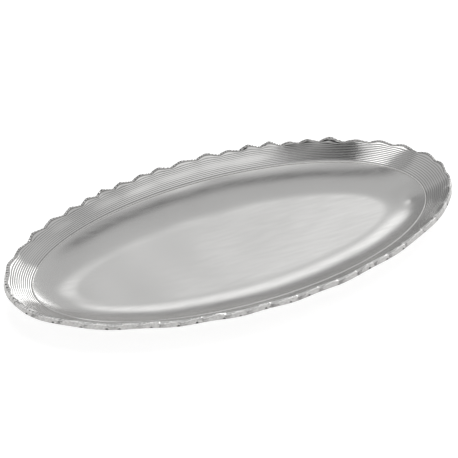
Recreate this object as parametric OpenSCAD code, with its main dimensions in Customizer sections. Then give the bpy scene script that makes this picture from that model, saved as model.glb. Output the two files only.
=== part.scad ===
// Oval serving tray built up from sheet: a satin well, a reeded flange lapped over its lip,
// a wire bead on the seam, and a lobed edge band crimped over a stiffening wire.
// Millimetres, +Z up, long axis along X, origin on the table under the middle of the tray.

/* [Tray] */
// Overall length, over the edge band
tray_l = 464; // [400:1:520]
// Overall width, over the edge band
tray_w = 230; // [200:5:260]
// Sheet thickness, measured straight up
sheet = 1.5; // [1:0.1:2]

/* [Well] */
// Height of the seam above the well's floor
well_depth = 12; // [8:0.5:14]
// Plan width of the hollow curved wall, from the floor to the seam
wall_run = 46; // [36:1:50]

/* [Border] */
// Plan width from the seam to the outside of the band, at the tray's two ends
border_end = 27.5; // [22:0.5:30]
// The same at the middle of the two long sides
border_side = 21; // [19:0.5:26]
// How much narrower the border is at the four shoulders between them
shoulder_trim = 3.2; // [0:0.1:5]
// Rise of the flange from the seam to its outer edge
rise = 13; // [8:0.5:18]
// How far the flange laps over the well's lip
lap = 6; // [4:0.5:8]
// Height of the broad flutes at the flange's outer edge
flute_h = 0.7; // [0:0.1:1.2]

/* [Edge band] */
// Number of lobes round the edge
lobes = 48; // [36:4:60]
// How far a lobe reaches out from the mean edge
lobe_out = 1.3; // [0:0.1:1.6]
// How far a lobe stands up from the mean edge
lobe_up = 0.9; // [0:0.1:1.4]
// Radius of the stiffening wire
wire_r = 1.3; // [1:0.1:1.4]

/* [Seam bead] */
// Radius of the bead wire
bead_r = 0.8; // [0.6:0.1:0.9]

/* [Feet] */
// Thickness of a foot pad
foot_h = 1.2; // [0.8:0.1:3]
// Radius of a foot pad
foot_r = 8; // [5:0.5:10]
// Half the distance between pads along the tray
foot_x = 95; // [70:1:100]
// Half the distance between pads across the tray
foot_y = 30; // [20:1:30]

/* [Hidden] */

steps_per_lobe = 4;
steps = lobes * steps_per_lobe;
wall_steps = 6;
band_reach = 3.8;      // from the flange's outer edge to the outside of the band
band_grip = 1.8;       // how far the band's lips reach back over the flange
lip = 0.5;             // thickness of the band's lips
solder = 0.05;         // film of solder between the wire and its seat

floor_z = foot_h + sheet;
seam_z = floor_z + well_depth;
seam_a = tray_l / 2 - border_end - lobe_out;
seam_b = tray_w / 2 - border_side - lobe_out;
flange_start = bead_r - 0.2;

// Even steps along the rim, as the angle at which the oval is drawn.
function drawn_at(turn) = turn + 9.1 * sin(2 * turn) + 1.8 * sin(4 * turn);

// A point of the oval that lies d outside the seam, at height z.
function oval(d, z, turn) =
    let (t = drawn_at(turn))
    [(seam_a + d) * cos(t), (seam_b + d) * sin(t), z];

// Width of the flange from the seam to its mean outer edge.
function flange_w(turn) =
    let (t = drawn_at(turn))
    border_side + (border_end - border_side) * pow(cos(t), 2)
    - shoulder_trim * pow(sin(2 * t), 2) - band_reach;

// Lobes lean one way, as waves do, and vary in length and reach.
function lobe(turn) =
    let (p = lobes * turn + 30 * sin(6 * turn) + 20 * sin(14 * turn))
    sin(p - 20 * sin(p)) * (0.8 + 0.2 * sin(10 * turn));

function edge_d(turn) = flange_w(turn) + lobe_out * lobe(turn);

// Height of the well's lip and of the flange's underside, d outside the seam.
function slope_z(d, turn) =
    let (w = flange_w(turn), outer = max(d - lap, 0) / (w - lap))
    seam_z + rise * d / w
    + (flute_h * sin(18 * turn + 40 * sin(4 * turn)) + lobe_up * lobe(turn)) * outer * outer;

// The well's wall is an arc that leaves the floor level and is steepest at the seam.
wall_r = (wall_run * wall_run + well_depth * well_depth) / (2 * well_depth);
function wall_z(d) = floor_z + wall_r - sqrt(wall_r * wall_r - pow(wall_run + d, 2));

// Two triangles between neighbouring sections, cut so that faces that touch are cut alike.
function patch(a, b, c, d, outward) =
    outward ? [[a, b, c], [a, c, d]] : [[a, b, d], [b, c, d]];

// Sweeps a section, a list of [d, z] at each turn, right round the oval.
// An open section is closed by a flat floor on top and beneath.
module sweep(section, open = false) {
    n = len(section(0));
    sections = [for (i = [0:steps - 1]) section(360 * i / steps)];
    points = [for (i = [0:steps - 1]) for (p = sections[i]) oval(p[0], p[1], 360 * i / steps)];
    sides = [for (i = [0:steps - 1]) let (next = (i + 1) % steps)
        for (j = [0:open ? n - 2 : n - 1]) let (k = (j + 1) % n)
            each patch(i * n + j, i * n + k, next * n + k, next * n + j,
                       sections[i][k][0] > sections[i][j][0])];
    beneath = [for (i = [0:steps - 1]) i * n];
    on_top = [for (i = [steps - 1:-1:0]) i * n + n - 1];
    polyhedron(points, open ? concat(sides, [beneath, on_top]) : sides);
}

// Where the flange's upper outer edge is, which the band and its wire follow.
function edge_at(turn) = [edge_d(turn), slope_z(edge_d(turn), turn) + sheet];

// Where the band's upper lip ends on the flange.
function mouth_at(turn) =
    let (d = edge_d(turn) - band_grip)
    [d, slope_z(d, turn) + sheet];

// Middle of the stiffening wire, from the flange's upper outer edge.
wire_at = [1.7, -2.5];

function hexagon(r) = [for (a = [120:-60:-180]) wire_at + r * [cos(a), sin(a)]];

module well_pan() {
    wall = [for (i = [0:wall_steps]) -wall_run * (1 - i / wall_steps)];
    color("gainsboro")
        sweep(open = true, section = function (turn) concat(
            [for (d = wall) [d, wall_z(d) - sheet]],
            [[lap, slope_z(lap, turn) - sheet], [lap, slope_z(lap, turn)],
             [flange_start, slope_z(flange_start, turn)]],
            [for (i = [wall_steps:-1:0]) [wall[i], wall_z(wall[i])]]));
}

module rim_flange() {
    color("silver")
        sweep(function (turn)
            let (across = [flange_start, lap, edge_d(turn) - band_grip, edge_d(turn)])
            concat(
                [for (d = across) [d, slope_z(d, turn)]],
                [for (i = [3:-1:0]) [across[i], slope_z(across[i], turn) + sheet]]));
}

module seam_bead() {
    middle = [flange_start - bead_r, seam_z + bead_r + 0.15];
    color("whitesmoke")
        sweep(function (turn)
            [for (a = [22.5:45:337.5]) middle + bead_r / cos(22.5) * [cos(a), sin(a)]]);
}

module edge_band() {
    outside = [[0.4, -4.7], [1.4, -5.7], [3.2, -5.7], [band_reach, -4.9],
               [band_reach, -1], [2.9, 0.6], [1.6, 0.9]];
    seat = hexagon(wire_r + solder);
    color("white")
        sweep(function (turn)
            let (edge = edge_at(turn), mouth = mouth_at(turn))
            concat(
                [mouth - [0, sheet + lip]],
                [for (p = outside) edge + p],
                [mouth + [0, lip], mouth, edge],
                [for (i = [0:5]) edge + seat[i]],
                [edge - [0, sheet], mouth - [0, sheet]]));
}

module edge_wire() {
    core = hexagon(wire_r);
    color("dimgray")
        sweep(function (turn) [for (i = [5:-1:0]) edge_at(turn) + core[i]]);
}

module foot_pad(x, y) {
    color("darkslategray")
        translate([x, y, 0])
            cylinder(h = foot_h, r = foot_r, $fn = 64);
}

well_pan();
rim_flange();
seam_bead();
edge_band();
edge_wire();
foot_pad(foot_x, foot_y);  // foot_pad_1
foot_pad(-foot_x, foot_y);  // foot_pad_2
foot_pad(-foot_x, -foot_y);  // foot_pad_3
foot_pad(foot_x, -foot_y);  // foot_pad_4
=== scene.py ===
"""An oval tray: satin well, reeded flange, bead and hammered edge band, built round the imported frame."""

import math

import bpy
import numpy as np
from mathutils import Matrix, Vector


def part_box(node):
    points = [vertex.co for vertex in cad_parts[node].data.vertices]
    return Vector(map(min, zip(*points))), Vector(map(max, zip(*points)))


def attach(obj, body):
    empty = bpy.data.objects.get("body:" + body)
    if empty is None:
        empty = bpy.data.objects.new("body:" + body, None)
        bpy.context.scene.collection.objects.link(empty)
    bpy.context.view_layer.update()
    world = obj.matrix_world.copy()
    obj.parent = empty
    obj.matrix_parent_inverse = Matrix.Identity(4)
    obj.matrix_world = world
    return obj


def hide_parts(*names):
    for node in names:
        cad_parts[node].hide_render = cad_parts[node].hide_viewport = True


MM = 0.001
SEED = 11

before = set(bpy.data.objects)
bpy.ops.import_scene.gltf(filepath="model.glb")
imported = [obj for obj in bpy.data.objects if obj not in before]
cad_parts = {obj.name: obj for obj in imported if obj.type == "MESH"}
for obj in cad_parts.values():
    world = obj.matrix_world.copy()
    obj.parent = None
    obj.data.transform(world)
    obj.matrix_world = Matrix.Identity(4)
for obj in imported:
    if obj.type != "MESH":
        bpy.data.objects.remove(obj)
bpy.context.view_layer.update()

# The tray's plan and section, in millimetres. They follow the CAD, apart from the lobes' swing.
TRAY_L = 464.0
TRAY_W = 230.0
SHEET = 1.5
WELL_DEPTH = 12.0
WALL_RUN = 46.0
# Width of the border at the ends and at the sides, and how much narrower it is between them.
BORDER_END = 27.5
BORDER_SIDE = 21.0
SHOULDER_TRIM = 3.2
# How far the flange climbs, how far it laps over the pan's lip, and the height of its broad flutes.
RISE = 13.0
LAP = 6.0
FLUTE_H = 0.7
# The lobes' number, and how far one swings out and up.
LOBES = 48
LOBE_OUT = 1.5
LOBE_UP = 0.4
# Kept free outside the border, for the lobes to swing into.
LOBE_ROOM = 1.3
# How far the band reaches past the flange's edge, and how far its lips reach in over it.
BAND_REACH = 3.8
LIP_GRIP = 0.7
BEAD_R = 0.8
WIRE_R = 0.75
# The middle of the stiffening wire, out from and above the flange's mean upper edge.
WIRE_AT = (1.25, -3.1)
FOOT_H = 1.2

FLOOR_Z = FOOT_H + SHEET
SEAM_Z = FLOOR_Z + WELL_DEPTH
SEAM_A = TRAY_L / 2 - BORDER_END - LOBE_ROOM
SEAM_B = TRAY_W / 2 - BORDER_SIDE - LOBE_ROOM
# The bead's middle lies 0.2 mm inside the seam, and the flange starts at its outer side.
FLANGE_START = BEAD_R - 0.2
WALL_R = (WALL_RUN**2 + WELL_DEPTH**2) / (2 * WELL_DEPTH)

# The small knock in the wall near one end of the well: x, y, radius and depth.
KNOCK = (190.0, -4.0, 8.0, 1.2)

# The flange's reeds: how many, points across each, and depth.
REEDS = 11
REED_POINTS = 8
REED_H = 0.2
# How far the flange's inner edge is eased, out and down.
EASE_OUT = 0.35
EASE_DOWN = 0.5
# Places where polishing has worn the reeds down: turn and spread in degrees, share of the way out
# and its spread, and strength.
POLISHED = [
    (70, 8, 0.45, 0.18, 0.85),
    (80, 8, 0.5, 0.18, 0.6),
    (95, 9, 0.5, 0.18, 0.6),
    (110, 8, 0.45, 0.18, 0.6),
    (124, 7, 0.5, 0.2, 0.6),
    (143, 6, 0.6, 0.2, 0.6),
    (160, 8, 0.5, 0.18, 0.45),
    (194, 16, 0.5, 0.7, 1.0),
    (222, 9, 0.5, 0.18, 0.5),
    (262, 12, 0.5, 0.18, 0.5),
    (305, 9, 0.4, 0.18, 0.4),
    (350, 5, 0.5, 0.18, 0.4),
]

# Where in a lobe its crest lies, the level of the notches between lobes, and how round a lobe is.
STEP_AT = 0.6
NOTCH_LEVEL = -0.55
LOBE_POWER = 1.7
# The smallest crest level of a lobe, and by how much the levels differ.
SMALLEST_LOBE = 0.45
LOBE_RANGE = 0.6

# How much of the lobes' swing the band's lower edge cancels, so that it runs nearly straight.
STEADY = 0.9
# Points along the band's section, from each of its control points on.
BAND_COUNTS = [1, 3, 4, 2, 13, 2, 3, 2, 1, 1, 1, 1]
# The band has one hammer dent for this many square millimetres of its face.
DENT_AREA = 2.2
# Spacing and depth of the small notches across the band's crest.
NOTCH_STEP = 3.0
NOTCH_CUT = 0.6

# Steps round the rim of the flange, the bead and the wire, and round a wire's section.
RIM_TURNS = 960
WIRE_SIDES = 12

rng = np.random.default_rng(SEED)


def drawn_at(turn):
    """The ellipse's own angle, spaced so that equal turns are about equal steps along the rim."""
    return turn + math.radians(9.1) * np.sin(2 * turn) + math.radians(1.8) * np.sin(4 * turn)


def oval(d, z, turn):
    """Points d outside the seam at height z, in metres. The arrays broadcast together."""
    t = drawn_at(turn)
    x, y, z = np.broadcast_arrays((SEAM_A + d) * np.cos(t), (SEAM_B + d) * np.sin(t), z)
    return np.stack([x, y, z], axis=-1) * MM


def flange_w(turn):
    """Width of the flange from the seam to its mean edge."""
    t = drawn_at(turn)
    return (
        BORDER_SIDE
        + (BORDER_END - BORDER_SIDE) * np.cos(t) ** 2
        - SHOULDER_TRIM * np.sin(2 * t) ** 2
        - BAND_REACH
    )


def lobe_phase(turn):
    """How many lobes lie before this turn, as a real number."""
    p = LOBES * turn + math.radians(30) * np.sin(6 * turn) + math.radians(20) * np.sin(14 * turn)
    return (p + math.radians(107)) / (2 * math.pi)


LOBE_SIZE = SMALLEST_LOBE + LOBE_RANGE * rng.random(LOBES)
FACET_TILT = rng.uniform(-1, 1, 2 * LOBES)


def lobe_share(turn):
    """0 where a lobe starts, 1 where it ends in its step."""
    q = lobe_phase(turn)
    return q - np.floor(q)


def lobe_size(turn):
    """Crest level of the lobe at this turn."""
    return LOBE_SIZE[np.floor(lobe_phase(turn)).astype(int) % LOBES]


def lobe(turn):
    """A lobe is a rounded swelling between two sharp notches, with its crest at STEP_AT."""
    s = lobe_share(turn)
    swell = 1 - (1 - np.clip(s / STEP_AT, 0, 1)) ** LOBE_POWER
    drop = 1 - np.clip((s - STEP_AT) / (1 - STEP_AT), 0, 1) ** LOBE_POWER
    return NOTCH_LEVEL + (lobe_size(turn) - NOTCH_LEVEL) * np.where(s < STEP_AT, swell, drop)


def edge_d(turn):
    """Distance of the flange's lobed edge from the seam."""
    return flange_w(turn) + LOBE_OUT * lobe(turn)


def slope_z(d, turn):
    """Height of the flange's underside: a straight slope, fluted and lobed towards the edge."""
    w = flange_w(turn)
    outer = np.maximum(d - LAP, 0) / (w - LAP)
    flute = FLUTE_H * np.sin(18 * turn + math.radians(40) * np.sin(4 * turn))
    return SEAM_Z + RISE * d / w + flute * outer**2 + LOBE_UP * lobe(turn) * outer**9


def mean_edge_z(turn):
    """Height of the underside at the mean edge, without the lobes."""
    return slope_z(flange_w(turn), turn) - LOBE_UP * lobe(turn)


def wall_z(d):
    """Height of the well's curved wall, for d from -WALL_RUN to 0."""
    return FLOOR_Z + WALL_R - np.sqrt(WALL_R**2 - np.clip(WALL_RUN + d, 0, None) ** 2)


def add_mesh(name, points, faces, slot, *nodes):
    mesh = bpy.data.meshes.new(name)
    mesh.from_pydata(points.reshape(-1, 3).tolist(), [], faces)
    mesh.polygons.foreach_set("use_smooth", np.ones(len(mesh.polygons), bool))
    mesh.validate()
    mesh.update()
    piece = bpy.data.objects.new(name, mesh)
    bpy.context.scene.collection.objects.link(piece)
    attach(piece, "root")
    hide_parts(*nodes)
    return piece


def add_attribute(piece, name, values):
    """Stores a value from 0 to 1 for each point, for the piece's material to read."""
    attribute = piece.data.attributes.new(name, "FLOAT", "POINT")
    attribute.data.foreach_set("value", values.astype(np.float32).ravel())


def ring_faces(turns, n, closed=True):
    """Quads of a section of n points swept round the oval."""
    i = np.arange(turns)[:, None]
    j = np.arange(n if closed else n - 1)[None, :]
    k = (j + 1) % n
    i_next = (i + 1) % turns
    quads = np.stack(
        np.broadcast_arrays(i * n + j, i * n + k, i_next * n + k, i_next * n + j), axis=-1
    )
    return quads.reshape(-1, 4).tolist()


def turns_of(count):
    """Evenly spaced turns once round, as a column."""
    return (np.arange(count) / count * 2 * math.pi)[:, None]


def waves(x, y, count, length, size):
    """Gentle unevenness: waves of about that length in random directions."""
    total = np.zeros(np.broadcast(x, y).shape)
    for _ in range(count):
        way = rng.uniform(0, math.pi)
        k = 2 * math.pi / (length * rng.uniform(0.7, 1.5))
        total += np.sin(k * (x * math.cos(way) + y * math.sin(way)) + rng.uniform(0, 6.28))
    return total * size / math.sqrt(count)


def make_pan():
    turns = 768
    rings = 30
    t = turns_of(turns)
    # The floor's rings start a little way out from the middle point.
    share = np.linspace(0.04, 1, rings)[None, :]
    a = SEAM_A - WALL_RUN
    b = SEAM_B - WALL_RUN
    angle = drawn_at(t)
    floor_x = share * a * np.cos(angle)
    floor_y = share * b * np.sin(angle)
    floor = np.stack([floor_x, floor_y, np.full(floor_x.shape, FLOOR_Z)], axis=-1) * MM
    d = np.linspace(-WALL_RUN, 0, rings + 1)[None, 1:]
    wall = oval(d, wall_z(d), t)
    top = np.concatenate([floor, wall], axis=1)
    lip_d = np.array([[0.6, 2.0, LAP]])
    lip = oval(lip_d, slope_z(lip_d, t), t)
    lower = np.concatenate([top, lip], axis=1)
    lower[..., 2] -= SHEET * MM
    x, y = top[..., 0] / MM, top[..., 1] / MM
    uneven = waves(x, y, count=11, length=70, size=0.09)
    knock_x, knock_y, knock_r, knock_depth = KNOCK
    uneven -= knock_depth * np.exp(-((x - knock_x) ** 2 + (y - knock_y) ** 2) / knock_r**2)
    # The unevenness dies out over the last 1.5 mm below the seam.
    seam_fade = np.clip((SEAM_Z - top[..., 2] / MM) / 1.5, 0, 1)
    top[..., 2] += uneven * seam_fade * MM
    upper = np.concatenate([top, lip], axis=1)
    points = np.concatenate([upper, lower[:, ::-1]], axis=1)
    n = points.shape[1]
    faces = ring_faces(turns, n, closed=False)
    centre_top = turns * n
    centre_low = centre_top + 1
    for i in range(turns):
        nxt = (i + 1) % turns
        faces.append([centre_top, i * n, nxt * n])
        faces.append([centre_low, nxt * n + n - 1, i * n + n - 1])
    centres = np.array([[0, 0, upper[:, 0, 2].mean()], [0, 0, lower[:, 0, 2].mean()]])
    all_points = np.concatenate([points.reshape(-1, 3), centres])
    return add_mesh("well_pan_sheet", all_points, faces, "pan_metal", "well_pan")


def make_flange():
    t = turns_of(RIM_TURNS)
    f = np.linspace(0, 1, REEDS * REED_POINTS + 1)[None, :]
    start = FLANGE_START + EASE_OUT
    end = edge_d(t) - LIP_GRIP
    d = start + (flange_w(t) - LIP_GRIP - start) * f + LOBE_OUT * lobe(t) * f**10
    crown = np.abs(np.sin(math.pi * REEDS * f)) ** 0.9
    polished = np.zeros(f.shape)
    for turn, turn_spread, share, share_spread, strength in POLISHED:
        off = ((t - math.radians(turn)) / math.radians(turn_spread)) ** 2
        off = off + ((f - share) / share_spread) ** 2
        polished = np.maximum(polished, strength * np.exp(-off))
    z = slope_z(d, t) + SHEET - REED_H * (1 - crown) * (1 - polished)
    top = oval(d, z, t)
    inner_top = oval(FLANGE_START + 0.0 * t, slope_z(FLANGE_START, t) + SHEET - EASE_DOWN, t)
    inner_low = oval(FLANGE_START + 0.0 * t, slope_z(FLANGE_START, t), t)
    lap = oval(LAP + 0.0 * t, slope_z(LAP, t), t)
    mid_d = 0.6 * flange_w(t)
    mid = oval(mid_d, slope_z(mid_d, t), t)
    out_low = oval(end, slope_z(end, t), t)
    out_edge = oval(edge_d(t), slope_z(edge_d(t), t), t)
    out_top = oval(edge_d(t), slope_z(edge_d(t), t) + SHEET - 0.2, t)
    points = np.concatenate(
        [inner_low, inner_top, top, out_top, out_edge, out_low, mid, lap], axis=1
    )
    faces = ring_faces(RIM_TURNS, points.shape[1])
    piece = add_mesh("rim_flange_reeded", points, faces, "flange_metal", "rim_flange")
    # The reeded points come third in a section, after the two on the inner edge.
    # Painted shade: the grooves between the reeds are darkened, less where the reeds are polished down.
    hollow = np.zeros(points.shape[:2])
    hollow[:, 2 : 2 + crown.shape[1]] = (1 - crown) ** 3 * (1 - polished)
    add_attribute(piece, "hollow", hollow)
    return piece


def wire_angles():
    """Angles round a wire's section, running so that its faces point outwards."""
    return -(np.arange(WIRE_SIDES) / WIRE_SIDES * 2 * math.pi)[None, :]


def make_bead():
    t = turns_of(RIM_TURNS)
    a = wire_angles()
    # The radius wavers by up to 4 percent, and 0.15 mm keeps the bead clear of the pan.
    r = BEAD_R * (1 + 0.04 * np.sin(61 * t) * np.sin(17 * t))
    d = FLANGE_START - BEAD_R + r * np.cos(a)
    z = SEAM_Z + BEAD_R + 0.15 + r * np.sin(a)
    faces = ring_faces(RIM_TURNS, WIRE_SIDES)
    return add_mesh("seam_bead_wire", oval(d, z, t), faces, "bead_metal", "seam_bead")


def make_wire():
    t = turns_of(RIM_TURNS)
    a = wire_angles()
    wire_d, wire_z = WIRE_AT
    z = mean_edge_z(t) + SHEET + wire_z + WIRE_R * np.sin(a)
    points = oval(flange_w(t) + wire_d + WIRE_R * np.cos(a), z, t)
    faces = ring_faces(RIM_TURNS, WIRE_SIDES)
    return add_mesh("edge_wire_core", points, faces, "wire_metal", "edge_wire")


def spread(control, counts):
    """Fills in a closed section (turns x corners x 2) with that many points from each corner on."""
    after = np.roll(control, -1, axis=1)
    runs = []
    for k, count in enumerate(counts):
        f = (np.arange(count) / count)[None, :, None]
        runs.append(control[:, k : k + 1] * (1 - f) + after[:, k : k + 1] * f)
    section = np.concatenate(runs, axis=1)
    # Each point is eased a little towards its neighbours, which rounds the corners.
    return 0.6 * section + 0.2 * (np.roll(section, 1, axis=1) + np.roll(section, -1, axis=1))


def facet_tilt(phase):
    """A value from -1 to 1 for each half lobe, the same all along it."""
    return FACET_TILT[np.floor(phase * 2).astype(int) % len(FACET_TILT)]


def rim_length(t):
    """Distance along the mean edge at each turn, and its whole length, in millimetres."""
    p = oval(flange_w(t), 0.0 * t, t)[:, 0, :2] / MM
    step = np.linalg.norm(np.roll(p, -1, axis=0) - p, axis=1)
    return np.concatenate([[0], np.cumsum(step)[:-1]]), step.sum()


def band_section(t):
    """The band's closed section at each turn, measured out from and above the flange's upper edge.

    Also gives the level of its crest.
    """
    # The crest juts out in a wedge, which grows towards the step and falls off just after it.
    s = lobe_share(t)
    rising = np.clip(s / STEP_AT - 0.25, 0, 1) ** 1.3 * (s < STEP_AT)
    falling = 0.75 * np.clip(1 - (s - STEP_AT) / 0.12, 0, 1) * (s >= STEP_AT)
    wedge = (rising + falling) * (lobe_size(t) - SMALLEST_LOBE) / LOBE_RANGE

    d_edge = edge_d(t)
    z_edge = slope_z(d_edge, t) + SHEET
    fall = (z_edge - slope_z(d_edge - LIP_GRIP, t) - SHEET) / LIP_GRIP
    swing_d = LOBE_OUT * lobe(t)
    swing_z = slope_z(d_edge, t) - mean_edge_z(t)
    # The rim is low where a lobe starts and lifted further on, with a facet for each half lobe.
    lifted = np.clip((s - 0.25) / 0.25, 0, 1) * np.clip((1 - s) / 0.1, 0, 1)
    rim_z = -0.25 + 0.6 * lifted + 0.2 * facet_tilt(lobe_phase(t))
    crest = 1.8 + 0.9 * np.clip(wedge, 0, 1) - 0.3 * swing_d

    def at(d, z):
        return np.concatenate([d + 0.0 * t, z + 0.0 * t], axis=1)

    def on_slope(d, above):
        """A point that follows the flange's slope."""
        return at(d, fall * d + above)

    def steady(d, z):
        """A point that hardly follows the lobes."""
        return at(d - STEADY * swing_d, z - STEADY * swing_z)

    control = [
        # The upper lip, from its tip out over the flange.
        on_slope(-LIP_GRIP - 0.15, -0.5),
        on_slope(-LIP_GRIP - 0.1, 0.04),
        on_slope(-0.2, 0.12),
        # The crest and the outer face.
        at(crest, rim_z),
        at(crest + 0.3 - 0.15 * swing_d, rim_z - 0.2),
        # The foot of the face and the underside.
        steady(3.8, -4.5),
        steady(3.2, -5.1),
        steady(1.4, -5.1),
        steady(-0.1, -4.2),
        # The lower lip, and back inside the flange's edge.
        on_slope(-1.2, -SHEET - 0.45),
        on_slope(-1.6, -SHEET - 0.1),
        on_slope(-0.8, -0.9),
    ]
    return spread(np.stack(control, axis=1), BAND_COUNTS), rim_z


def make_band():
    turns = 2880
    t = turns_of(turns)
    section, rim_z = band_section(t)
    n = section.shape[1]
    along, whole = rim_length(t)
    tangent = np.roll(section, -1, axis=1) - np.roll(section, 1, axis=1)
    tangent /= np.linalg.norm(tangent, axis=2, keepdims=True)
    outward = np.stack([-tangent[..., 1], tangent[..., 0]], axis=2)
    steps = np.linalg.norm(np.diff(section, axis=1, append=section[:, :1]), axis=2)
    across = np.concatenate([np.zeros((turns, 1)), np.cumsum(steps, axis=1)[:, :-1]], axis=1)
    mean_across = across.mean(axis=0)

    dent = np.zeros((turns, n))
    pit = np.zeros((turns, n))

    def strike(field, u, v, reach_u, reach_v, depth):
        """A dent centred u along the rim and v across the section."""
        gap = (along - u + whole / 2) % whole - whole / 2
        rows = np.where(np.abs(gap) < reach_u)[0]
        q = (gap[rows][:, None] / reach_u) ** 2 + ((mean_across[None, :] - v) / reach_v) ** 2
        field[rows] = np.maximum(field[rows], depth * np.clip(1 - q, 0, None))

    # Shallow dents lie anywhere from the upper lip to the underside.
    low_v = mean_across[sum(BAND_COUNTS[:1])]
    high_v = mean_across[sum(BAND_COUNTS[:7])]
    for _ in range(int(whole * (high_v - low_v) / DENT_AREA)):
        strike(
            dent,
            rng.uniform(0, whole),
            rng.uniform(low_v, high_v),
            rng.uniform(0.8, 1.9),
            rng.uniform(0.7, 1.3),
            rng.uniform(0.03, 0.13),
        )
    # Deeper pits lie just above the foot of the face: one for each lobe, some with a small one beside it.
    foot_v = mean_across[sum(BAND_COUNTS[:5])]
    for k in range(LOBES):
        u = (k + rng.uniform(0.2, 0.8)) * whole / LOBES
        strike(pit, u, foot_v - rng.uniform(0.4, 1.2), rng.uniform(1.2, 2.0), 1.0, 0.7)
        if rng.random() < 0.5:
            strike(pit, u + rng.uniform(2, 6), foot_v - rng.uniform(0.0, 0.6), 0.8, 0.6, 0.4)

    # Small notches cross the crest. They are deepest on a lobe's falling side and at the far rim.
    wander = 1.3 * np.sin(along / 13.0) + 0.8 * np.sin(along / 4.1)
    notch = 1 - np.abs(np.sin(along * math.pi / NOTCH_STEP + wander))
    s = lobe_share(t)
    steep = np.clip((s - STEP_AT + 0.12) / 0.12, 0, 1) * np.clip((1 - s) / 0.06, 0, 1)
    ragged = 0.25 + 0.75 * np.clip(1.5 * np.sin(t) + 0.6, 0, 1)
    on_crest = np.exp(-(((section[..., 1] - rim_z) / 0.8) ** 2)) * (section[..., 0] > -0.3)
    cut = NOTCH_CUT * notch[:, None] ** 1.5 * np.maximum(steep, 0.7) * ragged * on_crest

    section = section - outward * (dent + pit + cut)[..., None]
    d_edge = edge_d(t)
    z_edge = slope_z(d_edge, t) + SHEET
    points = oval(d_edge + section[..., 0], z_edge + section[..., 1], t)
    faces = ring_faces(turns, n)
    piece = add_mesh("edge_band_hammered", points, faces, "band_metal", "edge_band")
    # Painted shade: the band is darkened in its pits, its crest notches and its dents.
    add_attribute(piece, "hollow", np.clip(pit / 0.4 + cut / 0.3 + dent, 0, 1))
    # Painted highlight: the crest is coloured near white.
    add_attribute(piece, "crest_highlight", on_crest)
    return piece


def make_pad(number):
    node = f"foot_pad_{number}"
    low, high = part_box(node)
    middle = (low + high) / 2
    r = (high.x - low.x) / 2
    h = high.z - low.z
    # The pad's rounded side from top to bottom, as shares of its radius and height.
    share = np.array([[0.88, 0.96, 1.0, 1.0, 0.95, 0.86]])
    height = np.array([[1.0, 0.9, 0.7, 0.3, 0.1, 0.0]])
    turns = 64
    t = turns_of(turns)
    fuzz = 1 - 0.015 * rng.random((turns, 1))
    x = middle.x + r * share * fuzz * np.cos(t)
    y = middle.y + r * share * fuzz * np.sin(t)
    z = low.z + h * height + 0.0 * t
    points = np.stack([x, y, z], axis=-1)
    n = points.shape[1]
    faces = ring_faces(turns, n, closed=False)
    faces.append([i * n for i in range(turns)])
    faces.append([i * n + n - 1 for i in range(turns - 1, -1, -1)])
    return add_mesh(f"foot_pad_felt_{number}", points, faces, "pad_felt", node)


def new_material(name):
    material = bpy.data.materials.new(name)
    material.use_nodes = True
    tree = material.node_tree
    return material, tree, tree.nodes["Principled BSDF"]


def noise(tree, scale, detail, stretch=(1, 1, 1)):
    place = tree.nodes.new("ShaderNodeTexCoord")
    mapping = tree.nodes.new("ShaderNodeMapping")
    mapping.inputs["Scale"].default_value = stretch
    texture = tree.nodes.new("ShaderNodeTexNoise")
    texture.inputs["Scale"].default_value = scale
    texture.inputs["Detail"].default_value = detail
    tree.links.new(place.outputs["Object"], mapping.inputs["Vector"])
    tree.links.new(mapping.outputs["Vector"], texture.inputs["Vector"])
    return texture.outputs["Fac"]


def ranged(tree, value, low, high, out_low, out_high):
    """The value moved from one range to another, and held at its ends."""
    node = tree.nodes.new("ShaderNodeMapRange")
    node.inputs["From Min"].default_value = low
    node.inputs["From Max"].default_value = high
    node.inputs["To Min"].default_value = out_low
    node.inputs["To Max"].default_value = out_high
    tree.links.new(value, node.inputs["Value"])
    return node.outputs["Result"]


def colour_mix(tree, factor, b):
    """A mix node with its factor and second colour set."""
    node = tree.nodes.new("ShaderNodeMix")
    node.data_type = "RGBA"
    node.inputs["B"].default_value = (*b, 1)
    tree.links.new(factor, node.inputs["Factor"])
    return node


def blend_colour(tree, factor, a, b):
    node = colour_mix(tree, factor, b)
    node.inputs["A"].default_value = (*a, 1)
    return node.outputs["Result"]


def bump(tree, shader, height, distance):
    node = tree.nodes.new("ShaderNodeBump")
    node.inputs["Strength"].default_value = 1.0
    node.inputs["Distance"].default_value = distance
    tree.links.new(height, node.inputs["Height"])
    tree.links.new(node.outputs["Normal"], shader.inputs["Normal"])


def metal(name, bright, dull, rough, grain_scale, grain_stretch, grain_depth, cloud_scale=9):
    """Silver-coloured plate: cloudy tone and gloss over a fine worked grain."""
    material, tree, shader = new_material(name)
    shader.inputs["Metallic"].default_value = 1.0
    cloud = noise(tree, cloud_scale, 4)
    tone = ranged(tree, cloud, 0.3, 0.7, 0, 1)
    tree.links.new(blend_colour(tree, tone, dull, bright), shader.inputs["Base Color"])
    grain = noise(tree, grain_scale, 3, grain_stretch)
    gloss = ranged(tree, grain, 0.3, 0.7, *rough)
    tree.links.new(gloss, shader.inputs["Roughness"])
    bump(tree, shader, grain, grain_depth)
    return material


def recolour(material, attribute_name, start, colour):
    """Takes the plate towards a colour where the attribute passes start."""
    tree = material.node_tree
    base = tree.nodes["Principled BSDF"].inputs["Base Color"]
    attribute = tree.nodes.new("ShaderNodeAttribute")
    attribute.attribute_name = attribute_name
    share = ranged(tree, attribute.outputs["Fac"], start, 1.0, 0, 1)
    node = colour_mix(tree, share, colour)
    tree.links.new(base.links[0].from_socket, node.inputs["A"])
    tree.links.new(node.outputs["Result"], base)


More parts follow.
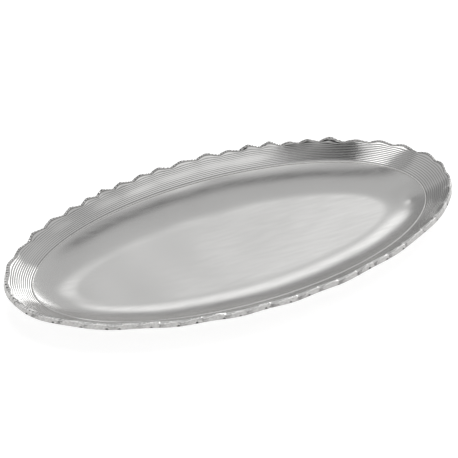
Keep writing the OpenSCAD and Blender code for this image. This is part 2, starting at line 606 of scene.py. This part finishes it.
def felt():
    material, tree, shader = new_material("felt")
    fibre = noise(tree, 2600, 5)
    shade = ranged(tree, fibre, 0.3, 0.7, 0, 1)
    colour = blend_colour(tree, shade, (0.02, 0.02, 0.022), (0.07, 0.07, 0.075))
    tree.links.new(colour, shader.inputs["Base Color"])
    shader.inputs["Roughness"].default_value = 0.95
    shader.inputs["Sheen Weight"].default_value = 0.4
    bump(tree, shader, fibre, 0.0004)
    return material


# Each plate's brightest and dullest colour, its roughness from and to, and its grain: scale, stretch
# and depth in metres. The last number, where there is one, is the scale of its cloudy tone.
EVEN = (1, 1, 1)
satin = metal(
    "satin_plate",
    (0.81, 0.805, 0.795),
    (0.75, 0.745, 0.735),
    (0.19, 0.25),
    260,
    (0.15, 1.2, 1),
    0.000004,
)
bright = metal(
    "bright_plate",
    (0.80, 0.795, 0.785),
    (0.73, 0.725, 0.715),
    (0.07, 0.13),
    700,
    EVEN,
    0.00001,
)
bead_plate = metal(
    "bead_plate",
    (0.86, 0.855, 0.845),
    (0.80, 0.795, 0.785),
    (0.10, 0.18),
    700,
    EVEN,
    0.00001,
)
# The band's plate is much darker than the other plates: painted shade, for the dim surroundings that its
# outer face reflects.
hammered = metal(
    "hammered_plate",
    (0.52, 0.515, 0.505),
    (0.34, 0.335, 0.33),
    (0.12, 0.24),
    900,
    EVEN,
    0.00003,
    620,
)
wire_plate = metal(
    "drawn_wire",
    (0.55, 0.55, 0.55),
    (0.45, 0.45, 0.45),
    (0.3, 0.4),
    500,
    EVEN,
    0.00001,
)
# Painted shade darkens the flange's reed grooves and the band's pits, notches and dents, and a painted
# highlight makes the band's crest near white.
recolour(bright, "hollow", 0.0, (0.32, 0.32, 0.32))
# Painted highlight on the band's crest.
recolour(hammered, "crest_highlight", 0.3, (0.90, 0.895, 0.885))
# Painted shade in the band's pits, notches and dents.
recolour(hammered, "hollow", 0.3, (0.06, 0.06, 0.06))
felt_cloth = felt()

# The pieces are made in this order because they share one run of random draws.
make_pan().data.materials.append(satin)
make_flange().data.materials.append(bright)
make_bead().data.materials.append(bead_plate)
make_band().data.materials.append(hammered)
for number in (1, 2, 3, 4):
    make_pad(number).data.materials.append(felt_cloth)
make_wire().data.materials.append(wire_plate)

# The tray's long axis is turned away from the camera's right by this much.
VIEW_TURN = math.radians(23.5)
# How high the camera stands above the table, as an angle, and how far off, in metres.
VIEW_UP = math.radians(41.2)
DISTANCE = 2.415
# Width of the view where the camera aims, and how far up and left of the tray's middle it aims, in mm.
VIEW_WIDTH = 442.4
AIM_UP = 10.2
AIM_LEFT = 3.7
SENSOR = 36.0


def from_camera_axes(x, y, z):
    """Row-frame direction of one given as right, straight away and up."""
    c, s = math.cos(VIEW_TURN), math.sin(VIEW_TURN)
    return Vector((x * c + y * s, -x * s + y * c, z))


def seen_from_camera(azimuth, elevation):
    """Row-frame direction of a bearing: azimuth from straight away, positive to the right, in degrees."""
    a, e = math.radians(azimuth), math.radians(elevation)
    return from_camera_axes(math.cos(e) * math.sin(a), math.cos(e) * math.cos(a), math.sin(e))


def add_camera():
    back = -seen_from_camera(0, 0) * math.cos(VIEW_UP) + Vector((0, 0, math.sin(VIEW_UP)))
    right = seen_from_camera(90, 0)
    up = back.cross(right)
    aim = Vector((0, 0, SEAM_Z * MM)) + (up * AIM_UP - right * AIM_LEFT) * MM
    data = bpy.data.cameras.new("camera")
    data.sensor_width = SENSOR
    data.lens = DISTANCE / MM * SENSOR / VIEW_WIDTH
    data.clip_end = 50
    camera = bpy.data.objects.new("camera", data)
    camera.location = aim + back * DISTANCE
    camera.rotation_euler = back.to_track_quat("Z", "Y").to_euler()
    bpy.context.scene.collection.objects.link(camera)
    bpy.context.scene.camera = camera


def add_floor():
    """A wide floor just under the pads, pale and partly emissive so that it comes out white."""
    mesh = bpy.data.meshes.new("floor")
    r = 6.0
    mesh.from_pydata([(-r, -r, 0), (r, -r, 0), (r, r, 0), (-r, r, 0)], [], [(0, 1, 2, 3)])
    floor = bpy.data.objects.new("floor", mesh)
    floor.location.z = -0.0002
    bpy.context.scene.collection.objects.link(floor)
    material, _, shader = new_material("pale_floor")
    shader.inputs["Base Color"].default_value = (0.5, 0.5, 0.5, 1)
    shader.inputs["Roughness"].default_value = 0.9
    shader.inputs["Emission Color"].default_value = (1, 1, 1, 1)
    shader.inputs["Emission Strength"].default_value = 0.70
    shader.inputs["Specular IOR Level"].default_value = 0.0
    mesh.materials.append(material)


# Soft patches of the studio round the tray: azimuth, elevation, radius of the even part, outer radius
# (all in degrees) and brightness.
PATCHES = [
    (180, 4, 24, 38, 0.92),
    (8, 42, 3, 10, 1.0),
    (130, 60, 14, 23, 0.84),
    (-42, 42, 9, 24, 0.45),
    (-25, 6, 20, 30, 0.29),
    (178, 56, 13, 17, 0.03),
    (-152, 60, 7, 11, 2.2),
]
# Brightness of the studio between the patches, level with the tray and straight overhead.
STUDIO_LOW = 0.58
STUDIO_HIGH = 0.52
# Directions, as right, away and up: across the dark gap in the ceiling, and square to the slanted top
# edge of the bright panel.
CEILING_GAP_FACING = (-0.356, 0.931, -0.071)
PANEL_TOP_FACING = (-0.33, 0.0, 0.944)


def add_world():
    world = bpy.data.worlds.new("studio")
    bpy.context.scene.world = world
    world.use_nodes = True
    tree = world.node_tree
    background = tree.nodes["Background"]
    background.inputs["Color"].default_value = (1, 1, 1, 1)
    place = tree.nodes.new("ShaderNodeTexCoord")
    parts = tree.nodes.new("ShaderNodeSeparateXYZ")
    tree.links.new(place.outputs["Generated"], parts.inputs["Vector"])
    height = parts.outputs["Z"]
    value = ranged(tree, height, 0.0, 1.0, STUDIO_LOW, STUDIO_HIGH)

    def facing(toward):
        """Cosine of the angle between where the world is seen and this direction."""
        dot = tree.nodes.new("ShaderNodeVectorMath")
        dot.operation = "DOT_PRODUCT"
        dot.inputs[1].default_value = toward
        tree.links.new(place.outputs["Generated"], dot.inputs[0])
        return dot.outputs["Value"]

    def eased(source, low, high):
        """Rises softly from 0 at low to 1 at high, whichever of the two is larger."""
        node = tree.nodes.new("ShaderNodeMapRange")
        node.interpolation_type = "SMOOTHSTEP"
        falls = low > high
        node.inputs["From Min"].default_value = min(low, high)
        node.inputs["From Max"].default_value = max(low, high)
        node.inputs["To Min"].default_value = 1.0 if falls else 0.0
        node.inputs["To Max"].default_value = 0.0 if falls else 1.0
        tree.links.new(source, node.inputs["Value"])
        return node.outputs["Result"]

    def both(a, b):
        node = tree.nodes.new("ShaderNodeMath")
        node.operation = "MULTIPLY"
        tree.links.new(a, node.inputs[0])
        tree.links.new(b, node.inputs[1])
        return node.outputs["Value"]

    def painted(under, mask, brightness):
        """This brightness where the mask is 1, over what lies under it."""
        node = tree.nodes.new("ShaderNodeMix")
        node.data_type = "FLOAT"
        node.inputs["B"].default_value = brightness
        tree.links.new(under, node.inputs["A"])
        tree.links.new(mask, node.inputs["Factor"])
        return node.outputs["Result"]

    def round_patch(azimuth, elevation, even, outer):
        return eased(
            facing(seen_from_camera(azimuth, elevation)),
            math.cos(math.radians(outer)),
            math.cos(math.radians(even)),
        )

    for azimuth, elevation, even, outer, brightness in PATCHES:
        value = painted(value, round_patch(azimuth, elevation, even, outer), brightness)

    # A dark gap across the ceiling.
    gap = facing(from_camera_axes(*CEILING_GAP_FACING))
    gap = both(eased(gap, -0.13, -0.06), eased(gap, 0.08, 0.01))
    value = painted(value, both(gap, eased(height, 0.74, 0.86)), 0.12)

    # A bright streak at middle height, nearly straight away from the camera.
    streak = both(eased(height, 0.22, 0.38), eased(height, 0.58, 0.48))
    value = painted(value, both(streak, round_patch(-9.5, 26, 7, 11)), 1.25)

    # A bright panel low on the right, with a slanted top edge.
    tilted = facing(from_camera_axes(*PANEL_TOP_FACING))
    panel = both(eased(tilted, 0.15, 0.11), round_patch(36, 8, 26, 31))
    value = painted(value, panel, 2.2)
    tree.links.new(value, background.inputs["Strength"])


def add_key_light():
    """A soft light from above that isn't reflected in the metal."""
    data = bpy.data.lights.new("key", "AREA")
    data.shape = "RECTANGLE"
    data.size = 2.0
    data.size_y = 2.0
    data.energy = 30
    light = bpy.data.objects.new("key", data)
    toward = seen_from_camera(20, 60)
    light.location = toward * 2.2
    light.rotation_euler = toward.to_track_quat("Z", "Y").to_euler()
    light.visible_camera = False
    light.visible_glossy = False
    bpy.context.scene.collection.objects.link(light)


add_floor()
add_world()
add_key_light()
add_camera()
bpy.context.scene.view_settings.view_transform = "Standard"
